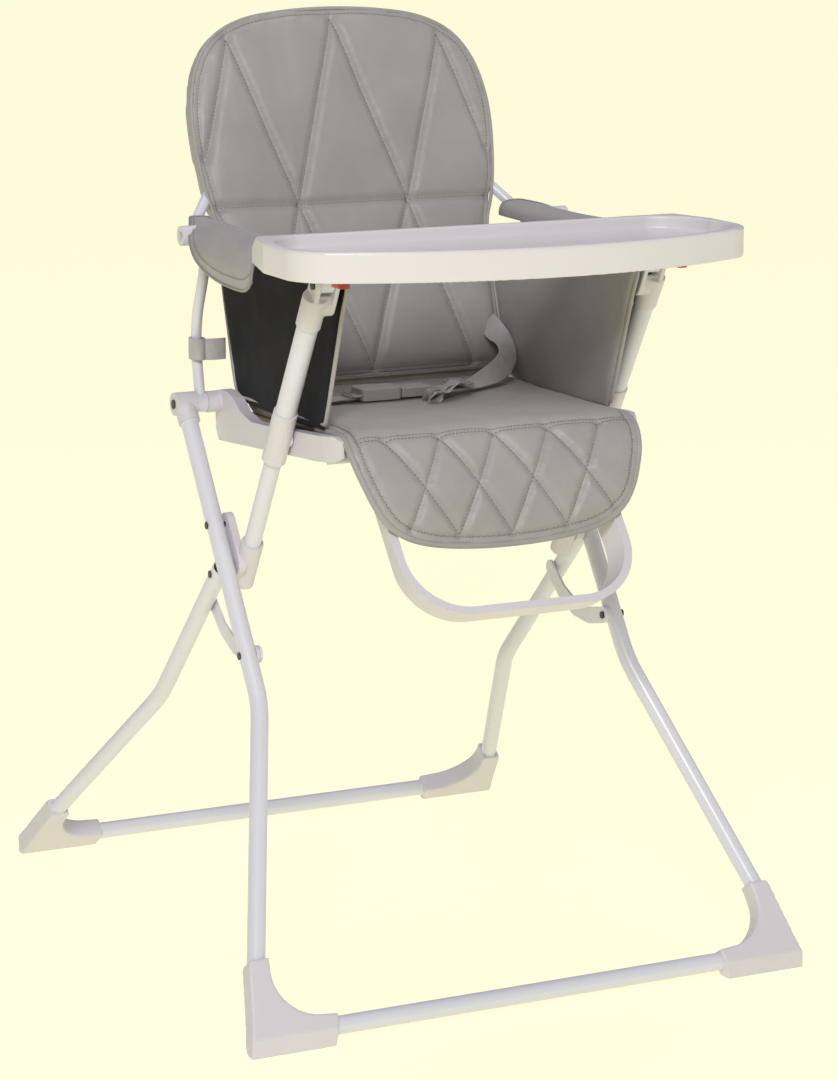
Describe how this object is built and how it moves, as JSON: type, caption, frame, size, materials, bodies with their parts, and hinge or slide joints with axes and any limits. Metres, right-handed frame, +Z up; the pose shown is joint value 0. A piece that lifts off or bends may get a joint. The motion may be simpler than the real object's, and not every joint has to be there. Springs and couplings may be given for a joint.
{
  "type": "baby high chair",
  "caption": "Folding baby high chair with crossed tube legs, sliding tray, quilted padded seat, calf pad, strip footrest and lap belt",
  "frame": {"origin": "floor point below the middle of the bounding box", "axes": "+Z up, the child faces -Y, +X is the child's left"},
  "size_m": [0.66, 0.815, 1.0389],
  "materials": {
    "white_tube": "smooth satin powder coat",
    "white_plastic": "moulded satin",
    "tray_plastic": "smooth moulded",
    "upholstery": "soft coated upholstery",
    "webbing": "woven",
    "steel": "zinc plated",
    "red_plastic": "moulded",
    "grey_plastic": "moulded",
    "board": "bare fibre board"
  },
  "bodies": {
    "front_frame": {"front_leg_frame": "white_tube", "front_foot_left": "white_plastic", "front_foot_right": "white_plastic", "front_top_hub_left": "white_plastic", "front_top_hub_right": "white_plastic", "seat_pivot_pins": "steel", "front_frame_rivets": "steel", "link_spacers": "white_plastic"},
    "rear_frame": {"rear_leg_frame": "white_tube", "rear_frame_rivets": "steel", "rear_foot_left": "white_plastic", "rear_foot_right": "white_plastic"},
    "brace_links": {"brace_link_left": "white_tube", "brace_link_right": "white_tube"},
    "elbows": {"elbow_left": "white_plastic", "elbow_right": "white_plastic", "lower_arm_tube_left": "white_tube", "lower_arm_tube_right": "white_tube"},
    "upper_arms": {"upper_arm_tube_left": "white_tube", "upper_arm_tube_right": "white_tube", "latch_sleeve_left": "white_plastic", "latch_sleeve_right": "white_plastic", "arm_cap_left": "white_plastic", "arm_cap_right": "white_plastic", "arm_cap_pins": "steel"},
    "latch_button_left": {"latch_button_left": "white_plastic"},
    "latch_button_right": {"latch_button_right": "white_plastic"},
    "armrests": {"armrest_bar_left": "white_tube", "armrest_bar_right": "white_tube", "armrest_flap_left": "upholstery", "armrest_flap_right": "upholstery"},
    "tray": {"tray": "tray_plastic", "release_guide_left": "white_plastic", "release_guide_right": "white_plastic"},
    "tray_release_left": {"tray_release_left": "red_plastic"},
    "tray_release_right": {"tray_release_right": "red_plastic"},
    "back": {"back_side_tube_left": "white_tube", "back_side_tube_right": "white_tube", "back_tube_eye_left": "white_tube", "back_tube_eye_right": "white_tube", "back_hub_left": "white_plastic", "back_hub_right": "white_plastic", "back_hoop": "white_tube", "back_pad": "upholstery", "back_board": "board", "webbing_loop_left": "webbing", "webbing_loop_right": "webbing"},
    "seat": {"seat_bracket_left": "white_plastic", "seat_bracket_right": "white_plastic", "seat_board": "board", "seat_cross_tubes": "white_tube", "seat_cushion": "upholstery", "side_panel_left": "upholstery", "side_panel_right": "upholstery", "calf_pad": "upholstery", "belt_left": "webbing", "belt_right": "webbing", "buckle_body": "grey_plastic"},
    "buckle_tongue": {"buckle_tongue": "grey_plastic"},
    "footrest": {"footrest": "white_plastic"}
  },
  "joints": [
    {"name": "fold", "type": "hinge", "parent": "front_frame", "child": "elbows", "pos_m": [0, -0.0211, 0.486], "axis": [1, 0, 0], "range_deg": [0, 90]},
    {"name": "arm_telescope", "type": "slide", "parent": "elbows", "child": "upper_arms", "axis": [0, -0.5175, 0.8557], "range_m": [-0.1142, 0.0005]},
    {"name": "rear_leg_fold", "type": "hinge", "parent": "elbows", "child": "rear_frame", "pos_m": [0, -0.0265, 0.432], "axis": [1, 0, 0], "range_deg": [-159.6, 0.1]},
    {"name": "brace_fold", "type": "hinge", "parent": "front_frame", "child": "brace_links", "pos_m": [0, -0.1116, 0.3585], "axis": [1, 0, 0], "range_deg": [-0.1, 17.7]},
    {"name": "seat_fold", "type": "hinge", "parent": "front_frame", "child": "seat", "pos_m": [0, 0.0655, 0.608], "axis": [1, 0, 0], "range_deg": [-0.1, 57.2], "deforming": ["side_panel_left", "side_panel_right"]},
    {"name": "back_fold", "type": "hinge", "parent": "front_frame", "child": "back", "pos_m": [0, 0.0655, 0.608], "axis": [1, 0, 0], "range_deg": [-0.1, 86.6]},
    {"name": "armrest_fold", "type": "hinge", "parent": "upper_arms", "child": "armrests", "pos_m": [0, -0.24792, 0.77804], "axis": [1, 0, 0], "range_deg": [-22.5, 0.1]},
    {"name": "tray_slide", "type": "slide", "parent": "armrests", "child": "tray", "axis": [0, -1, 0], "range_m": [0, 0.06]},
    {"name": "tray_release_left_press", "type": "slide", "parent": "tray", "child": "tray_release_left", "axis": [0, 0, 1], "range_m": [0, 0.004], "stiffness_N_per_m": 300, "springref_m": -0.002},
    {"name": "tray_release_right_press", "type": "slide", "parent": "tray", "child": "tray_release_right", "axis": [0, 0, 1], "range_m": [0, 0.004], "stiffness_N_per_m": 300, "springref_m": -0.002},
    {"name": "latch_button_left_press", "type": "slide", "parent": "upper_arms", "child": "latch_button_left", "axis": [0, -0.8557, -0.5175], "range_m": [0, 0.002], "stiffness_N_per_m": 300, "springref_m": -0.002},
    {"name": "latch_button_right_press", "type": "slide", "parent": "upper_arms", "child": "latch_button_right", "axis": [0, -0.8557, -0.5175], "range_m": [0, 0.002], "stiffness_N_per_m": 300, "springref_m": -0.002},
    {"name": "footrest_swing", "type": "hinge", "parent": "seat", "child": "footrest", "pos_m": [0, -0.2075, 0.5875], "axis": [1, 0, 0], "range_deg": [0, 50]},
    {"name": "buckle_release", "type": "slide", "parent": "seat", "child": "buckle_tongue", "axis": [1, 0, 0], "range_m": [0, 0.03], "deforming": ["belt_right"]}
  ],
  "couplings": [
    {"joint": "arm_telescope", "follows": "fold", "m_per_rad": -0.072384},
    {"joint": "rear_leg_fold", "follows": "fold", "ratio": -1.7722},
    {"joint": "brace_fold", "follows": "fold", "ratio": 0.19556},
    {"joint": "seat_fold", "follows": "fold", "ratio": 0.63444},
    {"joint": "back_fold", "follows": "fold", "ratio": 0.96111},
    {"joint": "armrest_fold", "follows": "fold", "ratio": -0.24889}
  ]
}
